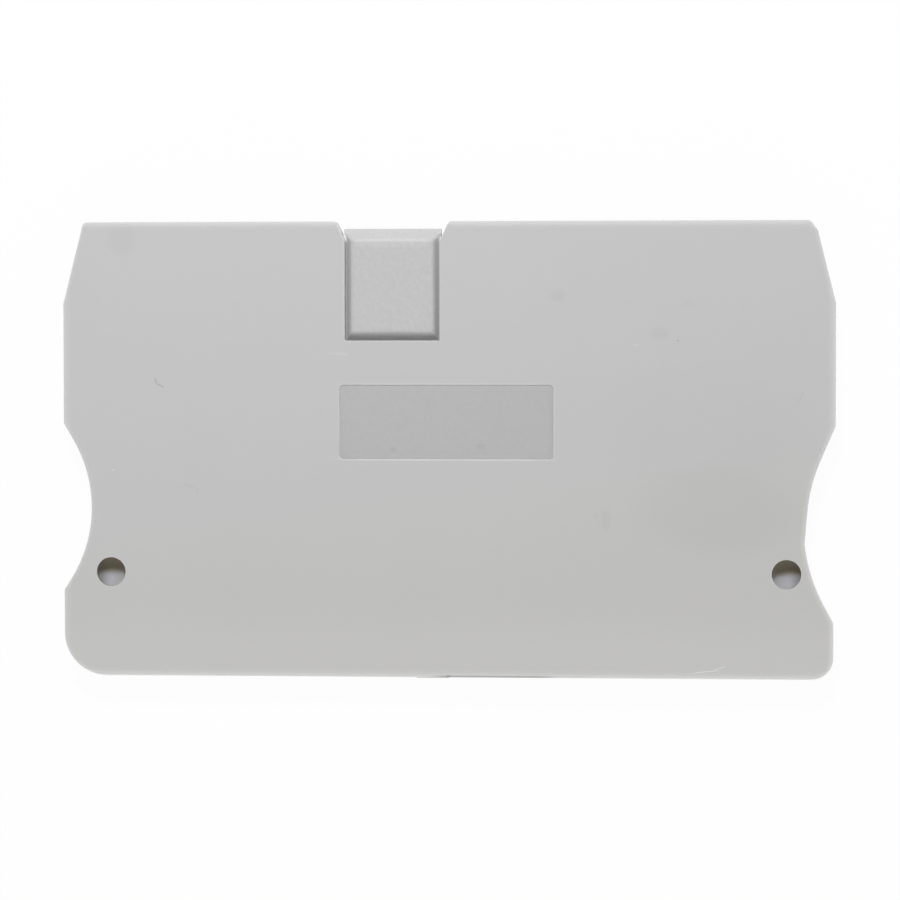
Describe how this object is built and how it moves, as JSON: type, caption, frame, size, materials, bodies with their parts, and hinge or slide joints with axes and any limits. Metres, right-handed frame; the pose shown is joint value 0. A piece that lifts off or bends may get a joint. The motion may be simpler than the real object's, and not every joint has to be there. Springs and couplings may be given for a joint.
{
  "type": "terminal block end cover",
  "caption": "Flat moulded plate that closes the open side of a rail-mounted terminal block, with a break-out tab, a bare marking field, blind sockets and locating pegs.",
  "frame": {"origin": "middle of the cover's length and height, at the tips of the locating pegs on which it lies", "axes": "+X along the terminal block, +Y from the rail side to the top edge, +Z out of the outer face"},
  "size_m": [0.0716, 0.0423, 0.0036],
  "materials": {
    "grey_plastic": "moulded, fine matt grain"
  },
  "bodies": {
    "root": {"end_cover": "grey_plastic"}
  },
  "joints": []
}
